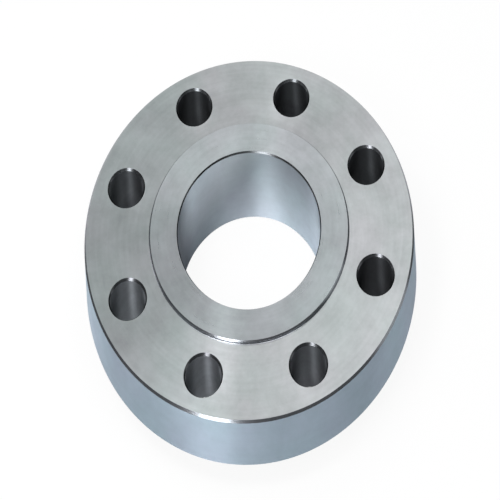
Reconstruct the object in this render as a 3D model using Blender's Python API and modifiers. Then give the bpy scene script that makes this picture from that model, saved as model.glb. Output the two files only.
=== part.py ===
"""Slip on flange: a steel ring that slides over the end of a pipe and is welded to it.

It is one forging, turned all over and drilled with a circle of bolt holes. It stands on the end
of its hub with the raised gasket face up, and its axis is +Z. Sizes are in metres.
"""

import math

import bpy
from mathutils import Vector

# Pipe that the flange slides over, and the room left for it in the bore
PIPE_DIAMETER = 0.0889
PIPE_CLEARANCE = 0.0009
BORE_CHAMFER = 0.0007

# Plate, from the foot of the raised face to the back face
PLATE_THICKNESS = 0.0268
RIM_CHAMFER = 0.001

# Raised face, the ring around the bore that the gasket seals on
RAISED_FACE_WIDTH = 0.01815
RAISED_FACE_HEIGHT = 0.0016
RAISED_FACE_CHAMFER = 0.0006
RAISED_FACE_FOOT_RADIUS = 0.0005

# Hub, the collar behind the plate, slightly tapered and filleted into the back face
HUB_WALL = 0.0133
HUB_LENGTH = 0.0145
HUB_TAPER = math.radians(5.0)
HUB_ROOT_RADIUS = 0.004
HUB_END_CHAMFER = 0.0015

# Bolt holes, spaced evenly and set either side of the ring's own X and Y axes
BOLT_HOLE_COUNT = 8
BOLT_DIAMETER = 0.01905
BOLT_CLEARANCE = 0.001575
BOLT_HOLE_CHAMFER = 0.001
BOLT_HOLE_BACK_CHAMFER = 0.0005
BOLT_CIRCLE_SETBACK = 0.02055      # from the raised face's edge to the bolt circle
RIM_WIDTH = 0.02075                # from the bolt circle to the rim

# How finely the round forms are divided
RING_SEGMENTS = 96
HOLE_SEGMENTS = 24
FILLET_SEGMENTS = 4
CUTTER_OVERSHOOT = 0.002
MERGE_DISTANCE = 0.00001
CREASE_ANGLE = math.radians(25.0)

STEEL_COLOUR = (0.56, 0.59, 0.61, 1.0)
STEEL_ROUGHNESS = 0.34

# Radii and heights that follow from the sizes above
BORE_RADIUS = PIPE_DIAMETER / 2 + PIPE_CLEARANCE
HUB_RADIUS = BORE_RADIUS + HUB_WALL
RAISED_FACE_RADIUS = BORE_RADIUS + RAISED_FACE_WIDTH
BOLT_CIRCLE_RADIUS = RAISED_FACE_RADIUS + BOLT_CIRCLE_SETBACK
OUTER_RADIUS = BOLT_CIRCLE_RADIUS + RIM_WIDTH
BOLT_HOLE_RADIUS = BOLT_DIAMETER / 2 + BOLT_CLEARANCE
BACK_FACE_Z = HUB_LENGTH
PLATE_TOP_Z = BACK_FACE_Z + PLATE_THICKNESS
RAISED_FACE_Z = PLATE_TOP_Z + RAISED_FACE_HEIGHT


def clear_scene():
    """Remove every object, so that the model starts from an empty scene."""
    for obj in list(bpy.data.objects):
        bpy.data.objects.remove(obj, do_unlink=True)


def new_collection(name):
    """Add an empty collection to the scene."""
    collection = bpy.data.collections.new(name)
    bpy.context.scene.collection.children.link(collection)
    return collection


def chamfer(before, corner, after, leg):
    """Cut a corner of an outline off, a leg's length along each of its sides."""
    towards_before = (before - corner).normalized()
    towards_after = (after - corner).normalized()
    return [corner + towards_before * leg, corner + towards_after * leg]


def fillet(before, corner, after, radius):
    """Round a corner of an outline with an arc that touches both of its sides."""
    towards_before = (before - corner).normalized()
    towards_after = (after - corner).normalized()
    half_angle = towards_before.angle(towards_after) / 2
    to_centre = (towards_before + towards_after).normalized()
    centre = corner + to_centre * (radius / math.sin(half_angle))
    start = corner + towards_before * (radius / math.tan(half_angle)) - centre
    end = corner + towards_after * (radius / math.tan(half_angle)) - centre
    turn = start.angle_signed(end)
    points = []
    for step in range(FILLET_SEGMENTS + 1):
        angle = -turn * step / FILLET_SEGMENTS
        turned = Vector((start.x * math.cos(angle) - start.y * math.sin(angle),
                         start.x * math.sin(angle) + start.y * math.cos(angle)))
        points.append(centre + turned)
    return points


def eased_outline(corners):
    """Ease each corner of a closed outline. A corner is its place, the way it is eased and by how much."""
    points = []
    for index, (place, ease, size) in enumerate(corners):
        before = corners[index - 1][0]
        after = corners[(index + 1) % len(corners)][0]
        points.extend(ease(before, place, after, size))
    return points


def flange_section():
    """Half section of the ring as radius and height, outwards from the bore's mouth and down the rim."""
    hub_end_radius = HUB_RADIUS - HUB_LENGTH * math.tan(HUB_TAPER)
    return eased_outline([
        (Vector((BORE_RADIUS, RAISED_FACE_Z)), chamfer, BORE_CHAMFER),
        (Vector((RAISED_FACE_RADIUS, RAISED_FACE_Z)), chamfer, RAISED_FACE_CHAMFER),
        (Vector((RAISED_FACE_RADIUS, PLATE_TOP_Z)), fillet, RAISED_FACE_FOOT_RADIUS),
        (Vector((OUTER_RADIUS, PLATE_TOP_Z)), chamfer, RIM_CHAMFER),
        (Vector((OUTER_RADIUS, BACK_FACE_Z)), chamfer, RIM_CHAMFER),
        (Vector((HUB_RADIUS, BACK_FACE_Z)), fillet, HUB_ROOT_RADIUS),
        (Vector((hub_end_radius, 0.0)), chamfer, HUB_END_CHAMFER),
        (Vector((BORE_RADIUS, 0.0)), chamfer, BORE_CHAMFER),
    ])


def bolt_hole_section():
    """Half section of one hole's cutter: straight, and flared at both faces by the chamfers."""
    flare = BOLT_HOLE_RADIUS + BOLT_HOLE_CHAMFER + CUTTER_OVERSHOOT
    back_flare = BOLT_HOLE_RADIUS + BOLT_HOLE_BACK_CHAMFER + CUTTER_OVERSHOOT
    top = PLATE_TOP_Z + CUTTER_OVERSHOOT
    bottom = BACK_FACE_Z - CUTTER_OVERSHOOT
    return [
        Vector((0.0, top)),
        Vector((flare, top)),
        Vector((BOLT_HOLE_RADIUS, PLATE_TOP_Z - BOLT_HOLE_CHAMFER)),
        Vector((BOLT_HOLE_RADIUS, BACK_FACE_Z + BOLT_HOLE_BACK_CHAMFER)),
        Vector((back_flare, bottom)),
        Vector((0.0, bottom)),
    ]


def section_mesh(name, section, closed):
    """Draw a half section as a line of edges in the XZ plane, ready to be turned about Z."""
    vertices = [(point.x, 0.0, point.y) for point in section]
    edges = [(index, index + 1) for index in range(len(section) - 1)]
    if closed:
        edges.append((len(section) - 1, 0))
    mesh = bpy.data.meshes.new(name)
    mesh.from_pydata(vertices, edges, [])
    return mesh


def turned_object(name, mesh, segments, collection):
    """Turn a half section through a full circle about the object's own Z axis."""
    obj = bpy.data.objects.new(name, mesh)
    collection.objects.link(obj)
    screw = obj.modifiers.new("turning", "SCREW")
    screw.axis = "Z"
    screw.angle = math.tau
    screw.steps = segments
    screw.render_steps = segments
    screw.use_merge_vertices = True
    screw.merge_threshold = MERGE_DISTANCE
    return obj


def bolt_hole_cutters(collection):
    """Place one cutter for each bolt hole around the bolt circle."""
    mesh = section_mesh("bolt_hole_cutter", bolt_hole_section(), closed=False)
    pitch = math.tau / BOLT_HOLE_COUNT
    for index in range(BOLT_HOLE_COUNT):
        angle = (index + 0.5) * pitch
        cutter = turned_object(f"bolt_hole_cutter_{index + 1}", mesh, HOLE_SEGMENTS, collection)
        cutter.location = (BOLT_CIRCLE_RADIUS * math.cos(angle), BOLT_CIRCLE_RADIUS * math.sin(angle), 0.0)
        cutter.rotation_euler.z = angle
        cutter.hide_render = True
        cutter.display_type = "WIRE"


def drill(obj, cutters):
    """Cut every object of a collection out of a solid."""
    drilling = obj.modifiers.new("bolt holes", "BOOLEAN")
    drilling.operation = "DIFFERENCE"
    drilling.solver = "EXACT"
    drilling.operand_type = "COLLECTION"
    drilling.collection = cutters


def settle_mesh(obj):
    """Make the modifiers' result the object's own mesh, with round walls smooth and edges crisp."""
    graph = bpy.context.evaluated_depsgraph_get()
    mesh = bpy.data.meshes.new_from_object(obj.evaluated_get(graph))
    mesh.name = obj.name
    obj.modifiers.clear()
    obj.data = mesh
    mesh.shade_smooth()
    mesh.set_sharp_from_angle(angle=CREASE_ANGLE)


def machined_steel():
    """Bare forged steel with a light machined finish."""
    material = bpy.data.materials.new("machined_steel")
    material.use_nodes = True
    shader = material.node_tree.nodes["Principled BSDF"]
    shader.inputs["Base Color"].default_value = STEEL_COLOUR
    shader.inputs["Metallic"].default_value = 1.0
    shader.inputs["Roughness"].default_value = STEEL_ROUGHNESS
    return material


def build_flange():
    """Turn the ring, drill its bolt holes and give it its finish."""
    parts = new_collection("slip_on_flange")
    cutters = new_collection("cutters")
    section = section_mesh("flange_section", flange_section(), closed=True)
    flange = turned_object("flange", section, RING_SEGMENTS, parts)
    bolt_hole_cutters(cutters)
    drill(flange, cutters)
    settle_mesh(flange)
    flange.data.materials.append(machined_steel())
    return flange


clear_scene()
build_flange()
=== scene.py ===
# %% [markdown]
# A slip on flange is a steel ring that slides over the end of a pipe and is welded there. It is one
# forging: a lathe turns it all over, and a drill makes the ring of bolt holes. So this lesson builds one
# mesh the same way, by turning a section about an axis and drilling the result. It then spends its time
# on what makes bare steel look like bare steel: lathe marks, edge breaks and the light around it.

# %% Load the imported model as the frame
import math

import bpy
from mathutils import Matrix, Vector


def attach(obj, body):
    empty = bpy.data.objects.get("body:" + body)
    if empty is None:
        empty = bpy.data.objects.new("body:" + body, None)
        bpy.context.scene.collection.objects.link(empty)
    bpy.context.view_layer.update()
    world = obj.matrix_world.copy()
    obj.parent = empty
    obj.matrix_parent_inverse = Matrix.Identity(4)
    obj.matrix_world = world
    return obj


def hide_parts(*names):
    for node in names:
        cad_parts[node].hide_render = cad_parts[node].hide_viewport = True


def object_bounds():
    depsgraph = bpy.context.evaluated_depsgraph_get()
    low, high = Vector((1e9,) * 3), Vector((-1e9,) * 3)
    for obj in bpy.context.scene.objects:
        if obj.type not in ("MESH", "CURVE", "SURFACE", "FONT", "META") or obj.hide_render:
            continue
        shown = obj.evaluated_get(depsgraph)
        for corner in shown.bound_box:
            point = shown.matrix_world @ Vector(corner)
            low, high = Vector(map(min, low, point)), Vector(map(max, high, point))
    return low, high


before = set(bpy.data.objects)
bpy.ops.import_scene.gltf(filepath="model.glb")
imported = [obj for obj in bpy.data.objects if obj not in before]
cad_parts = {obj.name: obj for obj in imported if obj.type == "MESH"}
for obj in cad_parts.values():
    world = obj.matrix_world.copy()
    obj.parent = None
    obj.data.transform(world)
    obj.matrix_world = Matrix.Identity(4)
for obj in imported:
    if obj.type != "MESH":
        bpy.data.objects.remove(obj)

CAD_LOW, CAD_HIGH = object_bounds()
OUTER_RADIUS = CAD_HIGH.x
RAISED_FACE_Z = CAD_HIGH.z
print(f"the frame's ring is {2000 * OUTER_RADIUS:.1f} mm across and {1000 * RAISED_FACE_Z:.1f} mm tall")

# %% [markdown]
# The photograph looks down on the flange at about 48 degrees, yet its round face is taller than it is
# wide, which no plain camera gives. A view camera does: its film stays upright while the lens looks down,
# so the picture is stretched from top to bottom and the ring's axis stays parallel to the film. Blender
# has no film tilt, but a camera's matrix may lean: the first two columns are the film's right and up, and
# the third is the way the lens looks. A leaning matrix can't be written as a location, a rotation and a
# scale, so it goes into the parent inverse of an empty that carries the camera, like a tripod.

# %% Place a view camera with an upright film
LENS_LENGTH = 319.9                      # mm, for a film 36 mm wide
CAMERA_DISTANCE = 2.805
CAMERA_AZIMUTH = math.radians(0.48)
CAMERA_ELEVATION = math.radians(47.7)
PICTURE_CENTRE = Vector((0.0, -0.0126, RAISED_FACE_Z))
FILM_TURN = math.radians(-2.13)          # about the upright axis
FILM_ROLL = math.radians(3.24)           # about the film's own normal


def direction(azimuth, elevation):
    """Unit vector towards a place round the flange, where azimuth 0 is the camera's side."""
    return Vector((math.sin(azimuth) * math.cos(elevation),
                   -math.cos(azimuth) * math.cos(elevation),
                   math.sin(elevation)))


def view_camera_matrix():
    """Columns of the camera's matrix: film right, film up, and back along the line of sight."""
    back = direction(CAMERA_AZIMUTH, CAMERA_ELEVATION)
    film = Matrix.Rotation(FILM_TURN, 3, "Z") @ Matrix.Rotation(FILM_ROLL, 3, "Y")
    columns = Matrix((film.col[0], film.col[2], back)).transposed().to_4x4()
    return Matrix.Translation(PICTURE_CENTRE + back * CAMERA_DISTANCE) @ columns


def add_to_scene(obj):
    """Link an object into the scene and hand it back."""
    bpy.context.scene.collection.objects.link(obj)
    return obj


tripod = add_to_scene(bpy.data.objects.new("tripod", None))
camera = add_to_scene(bpy.data.objects.new("camera", bpy.data.cameras.new("camera")))
camera.data.lens = LENS_LENGTH
camera.parent = tripod
camera.matrix_parent_inverse = view_camera_matrix()
bpy.context.scene.camera = camera
print(f"camera {CAMERA_DISTANCE:.2f} m from the flange, {math.degrees(CAMERA_ELEVATION):.0f} degrees up")

# %% [markdown]
# Everything on the ring follows from one half section: radius across, height up. These are the sizes of
# that section in metres, as the solid in the frame has them. The overall radius and height are left out,
# since they were read from the frame.

# %% Sizes of the section
BORE_RADIUS = 0.04535
BORE_CHAMFER = 0.0007
RAISED_FACE_RADIUS = 0.0635
RAISED_FACE_HEIGHT = 0.0016
RAISED_FACE_CHAMFER = 0.0006
RAISED_FACE_FOOT_RADIUS = 0.0005
PLATE_THICKNESS = 0.0268
RIM_CHAMFER = 0.001
HUB_RADIUS = 0.05865
HUB_TAPER = math.radians(5.0)
HUB_ROOT_RADIUS = 0.004
HUB_END_CHAMFER = 0.0015

PLATE_TOP_Z = RAISED_FACE_Z - RAISED_FACE_HEIGHT
BACK_FACE_Z = PLATE_TOP_Z - PLATE_THICKNESS
HUB_END_RADIUS = HUB_RADIUS - BACK_FACE_Z * math.tan(HUB_TAPER)
print(f"hub {1000 * BACK_FACE_Z:.1f} mm long, {2000 * HUB_END_RADIUS:.1f} mm across at its end")

# %% [markdown]
# A corner on turned steel is never sharp. The lathe breaks an outer corner with a small chamfer, and the
# tool's own nose leaves a fillet in an inner one. Both are worked out from the corner and its two
# neighbours, so the section below reads as a plain list of corners, each with the way it is eased.

# %% Ease the corners of an outline
FILLET_STEPS = 10


def chamfer(before, corner, after, leg):
    """Cut a corner off, a leg's length along each of its sides."""
    return [corner + (before - corner).normalized() * leg, corner + (after - corner).normalized() * leg]


def fillet(before, corner, after, radius):
    """Round a corner with an arc that touches both of its sides."""
    to_before = (before - corner).normalized()
    to_after = (after - corner).normalized()
    half_angle = to_before.angle(to_after) / 2
    centre = corner + (to_before + to_after).normalized() * radius / math.sin(half_angle)
    start = corner + to_before * radius / math.tan(half_angle) - centre
    end = corner + to_after * radius / math.tan(half_angle) - centre
    return [centre + start.slerp(end, step / FILLET_STEPS) * radius for step in range(FILLET_STEPS + 1)]


def eased_outline(corners):
    """Turn corners, each a place, a way of easing and a size, into the points of a closed outline."""
    points = []
    for index, (corner, ease, size) in enumerate(corners):
        before = corners[index - 1][0]
        after = corners[(index + 1) % len(corners)][0]
        points += ease(before, corner, after, size)
    return points


section = eased_outline([
    (Vector((BORE_RADIUS, RAISED_FACE_Z)), chamfer, BORE_CHAMFER),
    (Vector((RAISED_FACE_RADIUS, RAISED_FACE_Z)), chamfer, RAISED_FACE_CHAMFER),
    (Vector((RAISED_FACE_RADIUS, PLATE_TOP_Z)), fillet, RAISED_FACE_FOOT_RADIUS),
    (Vector((OUTER_RADIUS, PLATE_TOP_Z)), chamfer, RIM_CHAMFER),
    (Vector((OUTER_RADIUS, BACK_FACE_Z)), chamfer, RIM_CHAMFER),
    (Vector((HUB_RADIUS, BACK_FACE_Z)), fillet, HUB_ROOT_RADIUS),
    (Vector((HUB_END_RADIUS, 0.0)), chamfer, HUB_END_CHAMFER),
    (Vector((BORE_RADIUS, 0.0)), chamfer, BORE_CHAMFER),
])
print("the section has", len(section), "points")

# %% [markdown]
# Node trees are long when each node takes three lines. This helper adds one node, sets its properties and
# feeds its sockets, either with a plain value or with another node's output. Geometry and material trees
# both use it. A Mix node has a set of sockets for each kind of data under the same names, so they go by
# number: 6 and 7 are the two colours that go in, and 2 is the colour that comes out.

# %% A helper for node trees


def add_node(tree, kind, sockets=None, **properties):
    """Add a node and feed its sockets, named or numbered, with values or with other nodes' outputs."""
    node = tree.nodes.new(kind)
    for name, value in properties.items():
        setattr(node, name, value)
    for name, value in (sockets or {}).items():
        if isinstance(value, bpy.types.NodeSocket):
            tree.links.new(value, node.inputs[name])
        else:
            node.inputs[name].default_value = value
    return node


print("helper ready")

# %% [markdown]
# Lathe work leaves fine marks that run round the axis. On the faces they are circles, and on the walls
# they are rings up the height. Noise read in polar coordinates gives both: radius and height change
# quickly, and the angle round the axis changes slowly, so each mark is long and thin.

# %% Lathe marks in polar coordinates
MARKS_PER_METRE = 450.0
MARKS_ROUND_THE_AXIS = 2.0
MARK_DETAIL = 4.0


def lathe_marks(tree):
    """Noise from 0 to 1 in streaks that run round the flange's axis."""
    place = add_node(tree, "ShaderNodeTexCoord").outputs["Object"]
    split = add_node(tree, "ShaderNodeSeparateXYZ", {0: place})
    flat = add_node(tree, "ShaderNodeCombineXYZ", {"X": split.outputs["X"], "Y": split.outputs["Y"]})
    radius = add_node(tree, "ShaderNodeVectorMath", {0: flat.outputs[0]}, operation="LENGTH")
    unit = add_node(tree, "ShaderNodeVectorMath", {0: flat.outputs[0]}, operation="NORMALIZE")
    turn = add_node(tree, "ShaderNodeVectorMath", {0: unit.outputs[0], "Scale": MARKS_ROUND_THE_AXIS},
                    operation="SCALE")
    depth = add_node(tree, "ShaderNodeMath", {0: radius.outputs["Value"], 1: split.outputs["Z"]},
                     operation="ADD")
    fine = add_node(tree, "ShaderNodeMath", {0: depth.outputs[0], 1: MARKS_PER_METRE},
                    operation="MULTIPLY")
    noise = add_node(tree, "ShaderNodeTexNoise", {"Vector": turn.outputs[0], "W": fine.outputs[0],
                                                  "Scale": 1.0, "Detail": MARK_DETAIL},
                     noise_dimensions="4D")
    return noise.outputs["Fac"]


print("marks ready")

# %% [markdown]
# Tool marks also steer the shine. Light spreads widely across the marks and hardly at all along them,
# which draws a lamp's reflection out into a streak. The shader takes the direction of the wide spread as
# its tangent. On a face that is outwards from the flange's axis, and on an upright wall it is upwards,
# whether the wall is the rim, the bore or a bolt hole.

# %% Directions across the tool marks
WITHOUT_HEIGHT = (1.0, 1.0, 0.0)         # multiplied into a place, leaves only its part across the axis


def outwards(tree):
    """Direction across the marks of a face: away from the flange's axis."""
    place = add_node(tree, "ShaderNodeTexCoord").outputs["Object"]
    return add_node(tree, "ShaderNodeVectorMath", {0: place, 1: WITHOUT_HEIGHT}, operation="MULTIPLY")


def upwards(tree):
    """Direction across the marks of an upright wall."""
    return add_node(tree, "ShaderNodeCombineXYZ", {"Z": 1.0})


print("directions ready")

# %% [markdown]
# Seven finishes show on the ring. The plate's face and the gasket face are cut by a tool that moves
# outwards. The rim, the hub and the bore are turned along the axis, and they look bluer. The drilled holes
# are rough, and their near-black colour is painted shade. Broken edges and the mouths of the holes are
# smooth, and their darker colour is painted shade, so they draw a thin dark line round the face, which
# turns white where it meets the lamp's reflection. All share one recipe: metal whose colour wanders in
# clouds and in faint green and pink patches, marks from the tool, and a highlight that is drawn out
# across the marks.

# %% Steel finishes
MARK_DEPTH = 0.000002
MARK_SHARE = 0.4                         # of the marks in the colour, beside the clouds' 1
UNEVENNESS = 0.07                        # of the roughness, either way
CLOUD_SCALE = 60.0
CLOUD_DETAIL = 6.0
CLOUD_GRAIN = 0.7
DULL_BELOW = 0.5                         # sum of clouds and marks where the colour is dullest
BRIGHT_ABOVE = 0.9                       # and where it is brightest
PATCH_SCALE = 30.0
PATCH_DETAIL = 3.0
PATCH_PLACE = 3.0                        # a slice through the noise, chosen for where its patches lie
GREEN_BELOW = 0.35
PINK_ABOVE = 0.65
GREENISH = (0.965, 1.0, 0.985, 1.0)
PINKISH = (1.01, 0.985, 1.0, 1.0)


def steel(name, dull, bright, roughness, anisotropy, across_marks=outwards):
    """Bare steel with tool marks. Its colour wanders between a dull and a bright tone."""
    material = bpy.data.materials.new(name)
    material.use_nodes = True
    tree = material.node_tree
    shader = tree.nodes["Principled BSDF"]
    place = add_node(tree, "ShaderNodeTexCoord").outputs["Object"]
    cloud = add_node(tree, "ShaderNodeTexNoise", {"Vector": place, "Scale": CLOUD_SCALE,
                                                  "Detail": CLOUD_DETAIL, "Roughness": CLOUD_GRAIN})
    marks = lathe_marks(tree)
    blend = add_node(tree, "ShaderNodeMath", {0: marks, 1: MARK_SHARE, 2: cloud.outputs["Fac"]},
                     operation="MULTIPLY_ADD")
    tone = add_node(tree, "ShaderNodeMapRange", {"Value": blend.outputs[0], "From Min": DULL_BELOW,
                                                 "From Max": BRIGHT_ABOVE})
    colour = add_node(tree, "ShaderNodeMix", {0: tone.outputs[0], 6: (*dull, 1.0), 7: (*bright, 1.0)},
                      data_type="RGBA")
    patch = add_node(tree, "ShaderNodeTexNoise", {"Vector": place, "W": PATCH_PLACE, "Scale": PATCH_SCALE,
                                                  "Detail": PATCH_DETAIL}, noise_dimensions="4D")
    patches = add_node(tree, "ShaderNodeMapRange", {"Value": patch.outputs["Fac"],
                                                    "From Min": GREEN_BELOW, "From Max": PINK_ABOVE})
    tint = add_node(tree, "ShaderNodeMix", {0: patches.outputs[0], 6: GREENISH, 7: PINKISH},
                    data_type="RGBA")
    tinted = add_node(tree, "ShaderNodeMix", {0: 1.0, 6: colour.outputs[2], 7: tint.outputs[2]},
                      data_type="RGBA", blend_type="MULTIPLY")
    rough = add_node(tree, "ShaderNodeMapRange", {"Value": marks, "To Min": roughness * (1 - UNEVENNESS),
                                                  "To Max": roughness * (1 + UNEVENNESS)})
    bump = add_node(tree, "ShaderNodeBump", {"Height": marks, "Distance": MARK_DEPTH, "Strength": 1.0})
    shader.inputs["Metallic"].default_value = 1.0
    shader.inputs["Anisotropic"].default_value = anisotropy
    tree.links.new(tinted.outputs[2], shader.inputs["Base Color"])
    tree.links.new(rough.outputs[0], shader.inputs["Roughness"])
    tree.links.new(bump.outputs[0], shader.inputs["Normal"])
    tree.links.new(across_marks(tree).outputs[0], shader.inputs["Tangent"])
    return material


FINISHES = {
    "Faced": steel("faced_steel", (0.388, 0.407, 0.413), (0.502, 0.525, 0.535), 0.29, 0.9),
    "Gasket": steel("gasket_face_steel", (0.355, 0.38, 0.391), (0.463, 0.494, 0.511), 0.28, 0.9),
    # Edge: a darker base colour, painted shade that draws the dark line along broken edges.
    "Edge": steel("edge_steel_painted_shade", (0.24, 0.255, 0.28), (0.31, 0.325, 0.35), 0.2, 0.0, upwards),
    # Mouth: a near-black base colour, painted shade at the mouths of the bolt holes.
    "Mouth": steel("hole_mouth_painted_shade", (0.075, 0.08, 0.085), (0.115, 0.12, 0.13), 0.24, 0.0, upwards),
    "Turned": steel("turned_steel", (0.378, 0.455, 0.53), (0.437, 0.522, 0.605), 0.56, 0.9, upwards),
    "Bored": steel("bored_steel", (0.40, 0.452, 0.503), (0.458, 0.519, 0.577), 0.54, 0.9, upwards),
    # Drilled: a near-black base colour, painted shade inside the holes and on the bore's eased edge.
    "Drilled": steel("drilled_steel_painted_shade", (0.095, 0.10, 0.11), (0.13, 0.14, 0.15), 0.55, 0.92, upwards),
}
print("finishes:", [finish.name for finish in FINISHES.values()])

# %% [markdown]
# Several finishes get painted light and shade, multiplied into their colour. The holes at the lower left
# get a painted highlight and those at the upper right painted shade. The plate gets painted shade on its
# left, with a faint green in it, and the gasket face a painted sheen at the back. The bore gets painted
# light low on its right, a painted reflection as a pale haze at its upper left, and painted shade along
# its left edge. Each of these is a gradient: a tint that changes along a direction, read from Object
# coordinates and multiplied into the finish. The plate also has a darker patch beside the gasket face at
# the lower right, and there the tint changes with the distance from a point. Vector Math gives both
# measures: a dot product is how far a point lies along a direction, and a distance is how far it lies from
# a place.

# %% Paint light and shade across the ring, and one darker patch
LOWER_LEFT = (-0.643, -0.766, 0.0)
BACKWARDS = (0.225, 0.974, 0.0)
RIGHT = (0.996, 0.087, 0.0)
DOWN_AND_RIGHT = (0.68, 0.133, -0.721)
UP_AND_LEFT = (-0.648, 0.524, 0.553)
DULL_PLACE = (0.053, -0.042, PLATE_TOP_Z)
ALONG = "DOT_PRODUCT"
AWAY_FROM = "DISTANCE"


def tint_gradient(material, measure, where, start, end, first, last):
    """Multiply a finish by a tint that changes from one distance in metres to another."""
    tree = material.node_tree
    base = tree.nodes["Principled BSDF"].inputs["Base Color"]
    colour = base.links[0].from_socket
    place = add_node(tree, "ShaderNodeTexCoord").outputs["Object"]
    reach = add_node(tree, "ShaderNodeVectorMath", {0: place, 1: where}, operation=measure)
    share = add_node(tree, "ShaderNodeMapRange", {"Value": reach.outputs["Value"], "From Min": start,
                                                  "From Max": end}, interpolation_type="SMOOTHSTEP")
    tint = add_node(tree, "ShaderNodeMix", {0: share.outputs[0], 6: (*first, 1.0), 7: (*last, 1.0)},
                    data_type="RGBA")
    tinted = add_node(tree, "ShaderNodeVectorMath", {0: colour, 1: tint.outputs[2]}, operation="MULTIPLY")
    tree.links.new(tinted.outputs[0], base)


# Painted highlight on the holes at the lower left, painted shade on those at the upper right.
tint_gradient(FINISHES["Drilled"], ALONG, LOWER_LEFT, -0.017, 0.077, (0.5, 0.5, 0.5), (2.0, 2.0, 2.0))
# Painted shade on the plate's left side, with a faint green tint in it.
tint_gradient(FINISHES["Faced"], ALONG, RIGHT, -0.055, -0.012, (0.855, 0.88, 0.88), (1.02, 1.02, 1.02))
# A darker patch on the plate beside the gasket face at the lower right.
tint_gradient(FINISHES["Faced"], AWAY_FROM, DULL_PLACE, 0.005, 0.038, (0.85, 0.85, 0.85), (1.0, 1.0, 1.0))
# Painted sheen on the gasket face towards the back, painted shade towards the front.
tint_gradient(FINISHES["Gasket"], ALONG, BACKWARDS, -0.014, 0.055, (0.86, 0.87, 0.87), (1.12, 1.12, 1.12))
# Painted light low on the bore's right, painted shade high on its left.
tint_gradient(FINISHES["Bored"], ALONG, DOWN_AND_RIGHT, -0.037, 0.044, (0.52, 0.52, 0.52), (1.76, 1.75, 1.74))
# Painted reflection: a pale haze brightening the bore's upper left.
tint_gradient(FINISHES["Bored"], ALONG, UP_AND_LEFT, 0.037, 0.064, (1.0, 1.0, 1.0), (3.4, 3.25, 3.1))
# Painted shade along the bore's left edge.
tint_gradient(FINISHES["Bored"], ALONG, RIGHT, -0.0465, -0.032, (0.36, 0.36, 0.38), (1.0, 1.0, 1.0))
print("finishes drift")

# %% [markdown]
# The geometry tree does the workshop's job. The section is swept along a circle, which is what a lathe
# does. A drill is a line with a wide, narrow, narrow and wide station, swept by a circle, so one cut makes
# the hole and its two chamfers. The drill is placed on the points of the bolt circle and taken away from
# the ring. Then creases are marked by angle, and each finish goes where its rule says.

# %% Start a geometry tree with named inputs
BOLT_CIRCLE_RADIUS = 0.08405
BOLT_HOLE_RADIUS = 0.0111
BOLT_HOLE_CHAMFER = 0.001
BOLT_HOLE_BACK_CHAMFER = 0.0005
BOLT_HOLE_COUNT = 8
DRILL_OVERSHOOT = 0.002
RING_SEGMENTS = 256
HOLE_SEGMENTS = 64
CREASE_ANGLE = math.radians(25.0)

TREE_INPUTS = {
    "Ring Segments": ("NodeSocketInt", RING_SEGMENTS),
    "Hole Segments": ("NodeSocketInt", HOLE_SEGMENTS),
    "Turning Radius": ("NodeSocketFloat", BORE_RADIUS),
    "Bolt Circle Radius": ("NodeSocketFloat", BOLT_CIRCLE_RADIUS),
    "Bolt Hole Count": ("NodeSocketInt", BOLT_HOLE_COUNT),
    "Bolt Hole Radius": ("NodeSocketFloat", BOLT_HOLE_RADIUS),
    "Bolt Hole Chamfer": ("NodeSocketFloat", BOLT_HOLE_CHAMFER),
    "Back Chamfer": ("NodeSocketFloat", BOLT_HOLE_BACK_CHAMFER),
    "Overshoot": ("NodeSocketFloat", DRILL_OVERSHOOT),
    "Plate Top": ("NodeSocketFloat", PLATE_TOP_Z),
    "Plate Back": ("NodeSocketFloat", BACK_FACE_Z),
    "Crease Angle": ("NodeSocketFloat", CREASE_ANGLE),
    "Gasket Face Height": ("NodeSocketFloat", RAISED_FACE_Z),
    "Gasket Face Radius": ("NodeSocketFloat", RAISED_FACE_RADIUS),
    "Rim Radius": ("NodeSocketFloat", OUTER_RADIUS),
}
TREE_INPUTS.update({label: ("NodeSocketMaterial", finish) for label, finish in FINISHES.items()})


def geometry_tree(name, inputs):
    """An empty geometry tree with named inputs, and its input and output nodes."""
    tree = bpy.data.node_groups.new(name, "GeometryNodeTree")
    tree.interface.new_socket("Geometry", in_out="INPUT", socket_type="NodeSocketGeometry")
    tree.interface.new_socket("Geometry", in_out="OUTPUT", socket_type="NodeSocketGeometry")
    for label, (kind, _) in inputs.items():
        tree.interface.new_socket(label, in_out="INPUT", socket_type=kind)
    return tree, tree.nodes.new("NodeGroupInput"), tree.nodes.new("NodeGroupOutput")


tree, given, result = geometry_tree("turn_and_drill", TREE_INPUTS)
size = given.outputs
print("the tree has", len(TREE_INPUTS), "named inputs")

# %% Turn the ring
circle = add_node(tree, "GeometryNodeCurvePrimitiveCircle", {"Resolution": size["Ring Segments"],
                                                             "Radius": size["Turning Radius"]})
outline = add_node(tree, "GeometryNodeMeshToCurve", {"Mesh": size["Geometry"]})
ring = add_node(tree, "GeometryNodeCurveToMesh", {"Curve": circle.outputs["Curve"],
                                                  "Profile Curve": outline.outputs["Curve"]})
print("ring turned")

# %% Shape the drill from four stations


def calculate(operation, first, second):
    """One sum in the geometry tree."""
    return add_node(tree, "ShaderNodeMath", {0: first, 1: second}, operation=operation).outputs[0]


def pick(choices):
    """Choose one number for each point by the point's index."""
    switch = add_node(tree, "GeometryNodeIndexSwitch", data_type="FLOAT")
    while len(switch.index_switch_items) < len(choices):
        switch.index_switch_items.new()
    tree.links.new(add_node(tree, "GeometryNodeInputIndex").outputs[0], switch.inputs["Index"])
    for number, choice in enumerate(choices):
        tree.links.new(choice, switch.inputs[number + 1])
    return switch.outputs[0]


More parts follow.
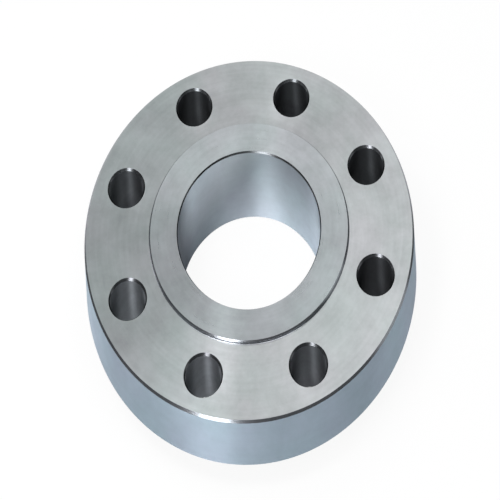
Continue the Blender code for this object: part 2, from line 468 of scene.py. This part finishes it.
drill_radius = size["Bolt Hole Radius"]
mouth = calculate("ADD", drill_radius, calculate("ADD", size["Bolt Hole Chamfer"], size["Overshoot"]))
back_mouth = calculate("ADD", drill_radius, calculate("ADD", size["Back Chamfer"], size["Overshoot"]))
radii = [mouth, drill_radius, drill_radius, back_mouth]
heights = [calculate("ADD", size["Plate Top"], size["Overshoot"]),
           calculate("SUBTRACT", size["Plate Top"], size["Bolt Hole Chamfer"]),
           calculate("ADD", size["Plate Back"], size["Back Chamfer"]),
           calculate("SUBTRACT", size["Plate Back"], size["Overshoot"])]
stations = add_node(tree, "GeometryNodeMeshLine", {"Count": len(heights)})
station_place = add_node(tree, "ShaderNodeCombineXYZ", {"Z": pick(heights)})
placed = add_node(tree, "GeometryNodeSetPosition", {"Geometry": stations.outputs[0],
                                                    "Position": station_place.outputs[0]})
spindle = add_node(tree, "GeometryNodeMeshToCurve", {"Mesh": placed.outputs[0]})
tip = add_node(tree, "GeometryNodeCurvePrimitiveCircle", {"Resolution": size["Hole Segments"],
                                                          "Radius": 1.0})
drill = add_node(tree, "GeometryNodeCurveToMesh", {"Curve": spindle.outputs["Curve"],
                                                   "Profile Curve": tip.outputs["Curve"],
                                                   "Scale": pick(radii), "Fill Caps": True})
print("drill shaped")

# %% Drill the bolt circle
bolt_circle = add_node(tree, "GeometryNodeMeshCircle", {"Vertices": size["Bolt Hole Count"],
                                                        "Radius": size["Bolt Circle Radius"]})
half_pitch = calculate("DIVIDE", math.pi, size["Bolt Hole Count"])
half_turn = add_node(tree, "ShaderNodeCombineXYZ", {"Z": half_pitch})
turned_circle = add_node(tree, "GeometryNodeTransform", {"Geometry": bolt_circle.outputs[0],
                                                         "Rotation": half_turn.outputs[0]})
marked_drill = add_node(tree, "GeometryNodeSetMaterial", {"Geometry": drill.outputs[0],
                                                          "Material": size["Drilled"]})
drills = add_node(tree, "GeometryNodeInstanceOnPoints", {"Points": turned_circle.outputs[0],
                                                         "Instance": marked_drill.outputs[0]})
real_drills = add_node(tree, "GeometryNodeRealizeInstances", {0: drills.outputs[0]})
faced_ring = add_node(tree, "GeometryNodeSetMaterial", {"Geometry": ring.outputs[0],
                                                        "Material": size["Faced"]})
drilled = add_node(tree, "GeometryNodeMeshBoolean", {"Mesh 1": faced_ring.outputs[0],
                                                     "Mesh 2": real_drills.outputs[0]},
                   operation="DIFFERENCE", solver="EXACT")
print("bolt circle drilled")

# %% Mark the creases


def field(kind, sockets=None, output=0, **properties):
    """Add a node of the geometry tree and hand back one of its outputs."""
    return add_node(tree, kind, sockets, **properties).outputs[output]


bend = field("GeometryNodeInputMeshEdgeAngle")
crease = field("FunctionNodeCompare", {0: bend, 1: size["Crease Angle"]}, data_type="FLOAT",
               operation="GREATER_THAN")
smooth = field("GeometryNodeSetShadeSmooth", {"Geometry": drilled.outputs[0]}, domain="FACE")
creased = field("GeometryNodeSetShadeSmooth", {"Geometry": smooth, "Selection": crease,
                                               "Shade Smooth": False}, domain="EDGE")
print("creases marked")

# %% [markdown]
# A finish belongs to a kind of surface, so it can be chosen by rule instead of face by face. A wall stands
# upright, a face lies flat, and what is between them is a slope, such as an eased edge. Radius and height
# tell the bore from the rim and the gasket face from the plate. Later rules win, and what no rule names
# stays as the lathe faced it. The bore's own eased edge gets the drilled holes' near-black colour, which
# is painted shade.

# %% Give each surface its finish
WALL_LEAN = 0.25                         # upward part of a wall's normal, with the hub's taper allowed for
FACE_LEAN = 0.95                         # and that of a flat face
SAME_HEIGHT = 0.0001
EDGE_REACH = 0.0008                      # over half of the widest chamfer, to its face's centre


def compare(first, second, operation, **margin):
    """Compare two numbers at each face."""
    return field("FunctionNodeCompare", {0: first, 1: second, **margin}, data_type="FLOAT",
                 operation=operation)


def both(first, second, operation="AND"):
    """Join two selections."""
    return field("FunctionNodeBooleanMath", {0: first, 1: second}, operation=operation)


place = field("GeometryNodeInputPosition")
height = field("ShaderNodeSeparateXYZ", {0: place}, "Z")
across = field("ShaderNodeVectorMath", {0: place, 1: WITHOUT_HEIGHT}, operation="MULTIPLY")
radius = field("ShaderNodeVectorMath", {0: across}, "Value", operation="LENGTH")
upward = field("ShaderNodeSeparateXYZ", {0: field("GeometryNodeInputNormal")}, "Z")
lean = field("ShaderNodeMath", {0: upward}, operation="ABSOLUTE")
is_wall = compare(lean, WALL_LEAN, "LESS_THAN")
is_face = compare(lean, FACE_LEAN, "GREATER_THAN")
is_cut = field("GeometryNodeMaterialSelection", {"Material": size["Drilled"]})
is_slope = both(is_wall, is_face, "NOR")


def at_radius(label):
    """Select what lies at one of the tree's radii or on an eased edge beside it."""
    return compare(radius, size[label], "EQUAL", Epsilon=EDGE_REACH)


# The Edge, Mouth and Drilled finishes carry painted shade in their darker colours.
rules = (
    (both(is_wall, is_cut, "NIMPLY"), "Turned"),
    (both(is_wall, at_radius("Turning Radius")), "Bored"),
    (both(is_face, compare(height, size["Gasket Face Height"], "EQUAL", Epsilon=SAME_HEIGHT)), "Gasket"),
    (both(is_slope, at_radius("Rim Radius")), "Edge"),
    (both(at_radius("Gasket Face Radius"), is_face, "NIMPLY"), "Edge"),
    (both(is_slope, at_radius("Turning Radius")), "Drilled"),
    (both(is_slope, is_cut), "Mouth"),
)
whole = field("GeometryNodeRealizeInstances", {0: creased})
for selection, finish in rules:
    whole = field("GeometryNodeSetMaterial", {"Geometry": whole, "Selection": selection,
                                              "Material": size[finish]})
tree.links.new(whole, result.inputs["Geometry"])
print("the tree has", len(tree.nodes), "nodes")

# %% [markdown]
# The section goes in as a closed line of edges. A swept outline's own X points away from the axis and its
# own Y points down, so heights are negated. The modifier's inputs are set by each socket's identifier, and
# the evaluated result becomes a plain mesh, because a live modifier can't ride on the frame.

# %% Turn the section into the finished ring


def section_object(name, points):
    """The closed half section as edges, measured outwards from the turning radius."""
    mesh = bpy.data.meshes.new(name)
    vertices = [(point.x - BORE_RADIUS, -point.y, 0.0) for point in points]
    edges = [(index, (index + 1) % len(points)) for index in range(len(points))]
    mesh.from_pydata(vertices, edges, [])
    return add_to_scene(bpy.data.objects.new(name, mesh))


def run_tree(obj, node_tree, inputs):
    """Run a geometry tree on an object and keep the result as its plain mesh."""
    modifier = obj.modifiers.new(node_tree.name, "NODES")
    modifier.node_group = node_tree
    for item in node_tree.interface.items_tree:
        if item.in_out == "INPUT" and item.name in inputs:
            modifier[item.identifier] = inputs[item.name][1]
    graph = bpy.context.evaluated_depsgraph_get()
    mesh = bpy.data.meshes.new_from_object(obj.evaluated_get(graph), preserve_all_data_layers=True,
                                           depsgraph=graph)
    obj.modifiers.clear()
    obj.data = mesh
    return obj


flange = run_tree(section_object("flange_ring", section), tree, TREE_INPUTS)
flange.data.calc_loop_triangles()
print(len(flange.data.polygons), "faces,", len(flange.data.loop_triangles), "triangles,",
      [material.name for material in flange.data.materials])
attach(flange, "root")
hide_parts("flange")

# %% [markdown]
# The flange stands on white paper that runs far past the picture. Paper is a plain matt white, and the
# flange's shadow falls on it. In the photograph the background is quite white, so what the camera sees is
# mostly an even white, mixed in by Light Path's Is Camera Ray, and some of the paper's own shading stays
# under it, which keeps the shadow. Reflections get a smaller share of that white, because bare metal shows
# how light and shade lie on the table, and the bore would lose its depth without them.

# %% White floor
FLOOR_HALF = 6.0
BACKGROUND_WHITE = (1.0, 1.0, 1.0, 1.0)
PAPER_WHITE = (0.85, 0.85, 0.85, 1.0)
CAMERA_SHARE = 0.92
REFLECTED_SHARE = 0.12


def background_share(tree, camera_share, reflected_share):
    """How much plain white a ray gets: most for the camera, less for what metal and glass show."""
    rays = add_node(tree, "ShaderNodeLightPath").outputs
    seen = add_node(tree, "ShaderNodeMath", {0: rays["Is Camera Ray"], 1: camera_share},
                    operation="MULTIPLY")
    indirect = add_node(tree, "ShaderNodeMath", {0: rays["Is Glossy Ray"], 1: rays["Is Transmission Ray"]},
                        operation="ADD")
    share = add_node(tree, "ShaderNodeMath", {0: indirect.outputs[0], 1: reflected_share,
                                              2: seen.outputs[0]}, operation="MULTIPLY_ADD")
    return share.outputs[0]


def mix_in_white(tree, own_look, share, output):
    """Mix a plain white background into a floor's or a world's own look."""
    kind = "ShaderNodeBackground" if output == "World Output" else "ShaderNodeEmission"
    white = add_node(tree, kind, {"Color": BACKGROUND_WHITE, "Strength": 1.0})
    mixed = add_node(tree, "ShaderNodeMixShader", {0: share, 1: own_look.outputs[0], 2: white.outputs[0]})
    tree.links.new(mixed.outputs[0], tree.nodes[output].inputs["Surface"])


def white_floor():
    """A large sheet of white paper at the height of the hub's end."""
    mesh = bpy.data.meshes.new("floor")
    corners = [(-FLOOR_HALF, -FLOOR_HALF), (FLOOR_HALF, -FLOOR_HALF),
               (FLOOR_HALF, FLOOR_HALF), (-FLOOR_HALF, FLOOR_HALF)]
    mesh.from_pydata([(x, y, CAD_LOW.z) for x, y in corners], [], [(0, 1, 2, 3)])
    paper = bpy.data.materials.new("white_paper")
    paper.use_nodes = True
    matt = add_node(paper.node_tree, "ShaderNodeBsdfDiffuse", {"Color": PAPER_WHITE})
    share = background_share(paper.node_tree, CAMERA_SHARE, REFLECTED_SHARE)
    mix_in_white(paper.node_tree, matt, share, "Material Output")
    mesh.materials.append(paper)
    return add_to_scene(bpy.data.objects.new("floor", mesh))


white_floor()
print("floor", 2 * FLOOR_HALF, "m wide")

# %% [markdown]
# Above the floor the room is dim, since most of the light comes from the lamps. From the side, though,
# the camera looks past the floor, and there the background has to be as white as the paper. So the world
# gets the same white mixed in.

# %% Room around the flange
ROOM_COLOUR = (0.97, 0.99, 1.0, 1.0)
ROOM_STRENGTH = 0.18
SKY_SHARE = 1.0                          # of the plain white, for the camera
SKY_REFLECTED_SHARE = 0.0

world = bpy.data.worlds.new("studio")
world.use_nodes = True
bpy.context.scene.world = world
room = add_node(world.node_tree, "ShaderNodeBackground", {"Color": ROOM_COLOUR, "Strength": ROOM_STRENGTH})
sky_share = background_share(world.node_tree, SKY_SHARE, SKY_REFLECTED_SHARE)
mix_in_white(world.node_tree, room, sky_share, "World Output")
print("room strength", ROOM_STRENGTH)

# %% [markdown]
# The streaks in the photograph tell where the lamps stand. On a ring of tool marks, a streak lies where
# the marks run square to the plane of the lamp and the lens. The sharp streak at the lower left of the
# faces, with its twin at the upper right, asks for a small lamp in front on the left, as high as the
# camera. A second one above it widens the streak. Broad, weaker softboxes at the back and the sides fill
# in the rest, as the white walls of a photo booth would.

# %% Softboxes
LIGHT_CENTRE = Vector((0.0, 0.0, 0.03))


def softbox(name, azimuth, elevation, distance, width, watts):
    """A square area light that faces the flange."""
    light = bpy.data.lights.new(name, "AREA")
    light.shape = "SQUARE"
    light.size = width
    light.energy = watts
    away = direction(math.radians(azimuth), math.radians(elevation))
    lamp = add_to_scene(bpy.data.objects.new(name, light))
    lamp.location = LIGHT_CENTRE + away * distance
    lamp.rotation_mode = "QUATERNION"
    lamp.rotation_quaternion = away.to_track_quat("Z", "Y")
    return lamp


softbox("key", -28, 43, 1.2, 0.3, 3.9)
softbox("key_high", -50, 66, 1.2, 0.3, 4.5)
softbox("back", 180, 65, 1.0, 0.5, 0.75)
softbox("back_level", 180, 45, 1.0, 0.5, 0.45)
softbox("back_right", 150, 48, 1.0, 0.5, 0.85)
softbox("front_right_high", 35, 68, 1.0, 0.5, 2.9)
softbox("left", -90, 45, 1.0, 0.5, 0.45)
softbox("left_high", -90, 68, 1.0, 0.5, 1.55)
softbox("left_back_low", -120, 30, 1.0, 0.4, 1.5)
softbox("right_low", 90, 15, 1.0, 0.5, 0.5)
bpy.context.scene.view_settings.view_transform = "Standard"
